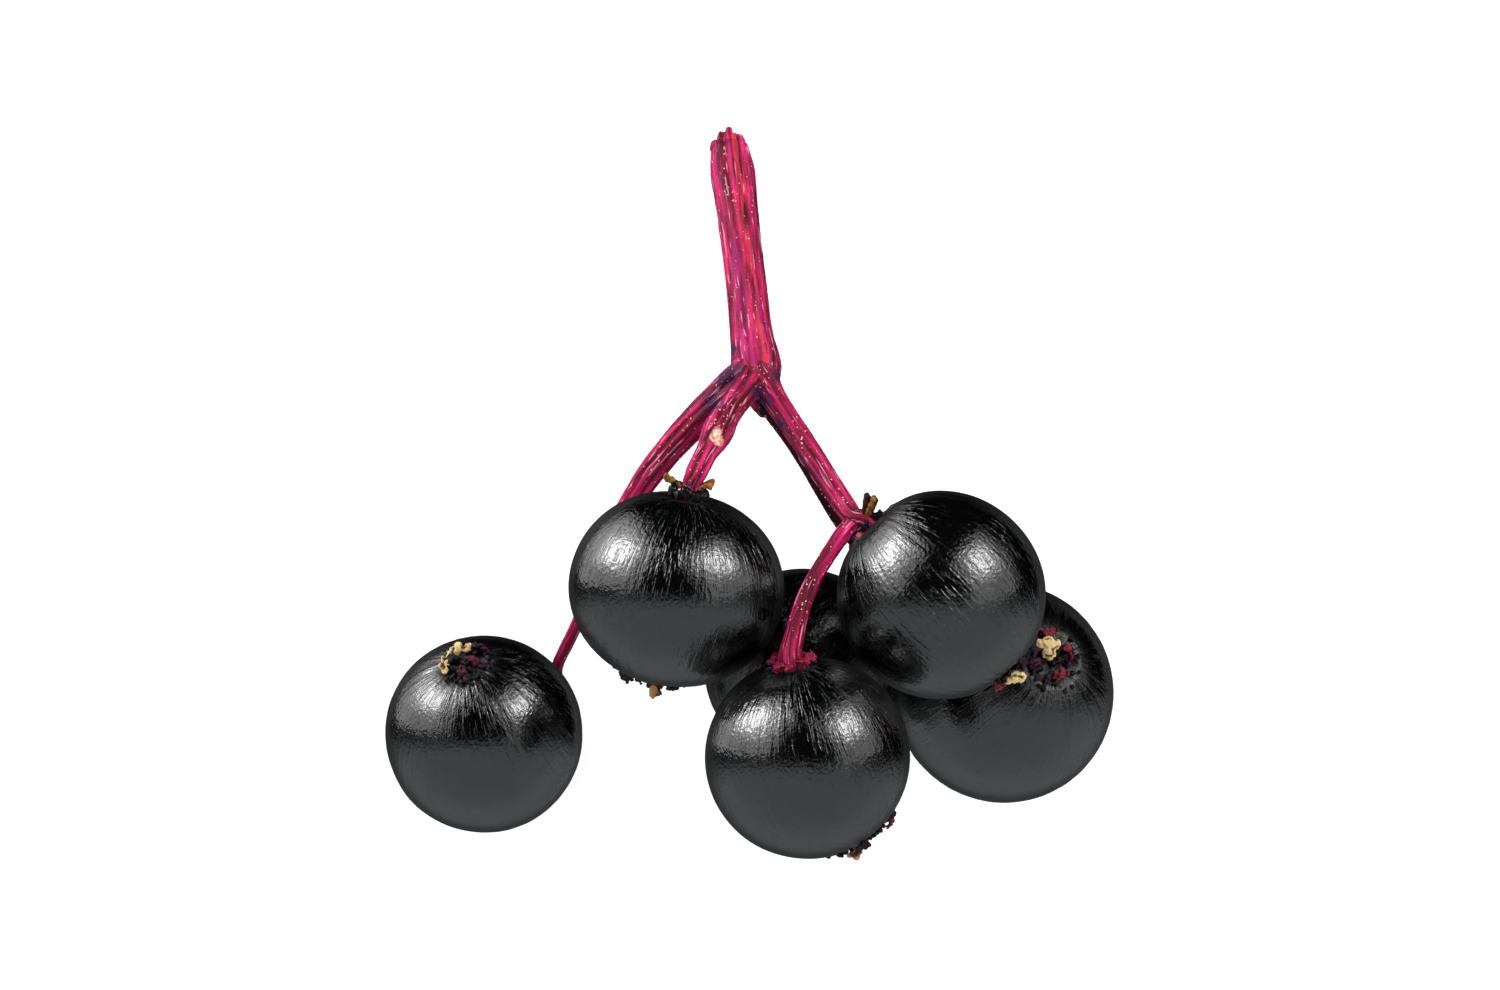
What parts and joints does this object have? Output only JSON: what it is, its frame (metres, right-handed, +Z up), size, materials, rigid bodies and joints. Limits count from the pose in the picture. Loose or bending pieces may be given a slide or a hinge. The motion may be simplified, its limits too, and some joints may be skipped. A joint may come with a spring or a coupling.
{
  "type": "elderberry cluster",
  "caption": "Small picked sprig of ripe black elderberries on a forked crimson stalk, lying on its side.",
  "frame": {"origin": "centre of the footprint's bounding box, on the surface the sprig lies on", "axes": "+Z up from the surface; +Y towards the cut end of the stalk; +X towards the right-hand berries as seen from above with the cut end away from the viewer"},
  "size_m": [0.0218, 0.0216, 0.0135],
  "materials": {
    "stalk_bark": "fresh crimson bark, ribbed, slightly waxy, with purple and orange streaks",
    "berry_skin": "ripe near-black berry skin, smooth and satin with fine lengthwise wrinkles",
    "dried_sepals": "dry shrivelled flower remains, cream and crimson, pitted and matt",
    "bracteoles": "shrunken dark purple scales, rough, slightly moist",
    "dry_bract": "dry curled brown leaf, matt",
    "flower_bud": "small pink bud, smooth and satin"
  },
  "bodies": {
    "root": {"stalk": "stalk_bark", "berry_far_left": "berry_skin", "calyx_far_left": "dried_sepals", "bracteoles_far_left": "bracteoles", "berry_upper_left": "berry_skin", "calyx_upper_left": "dried_sepals", "bracteoles_upper_left": "bracteoles", "berry_upper_right": "berry_skin", "calyx_upper_right": "dried_sepals", "bracteoles_upper_right": "bracteoles", "berry_lower_middle": "berry_skin", "calyx_lower_middle": "dried_sepals", "bracteoles_lower_middle": "bracteoles", "berry_far_right": "berry_skin", "calyx_far_right": "dried_sepals", "bracteoles_far_right": "bracteoles", "berry_back": "berry_skin", "calyx_back": "dried_sepals", "bracteoles_back": "bracteoles", "dry_bract": "dry_bract", "flower_bud": "flower_bud"}
  },
  "joints": []
}
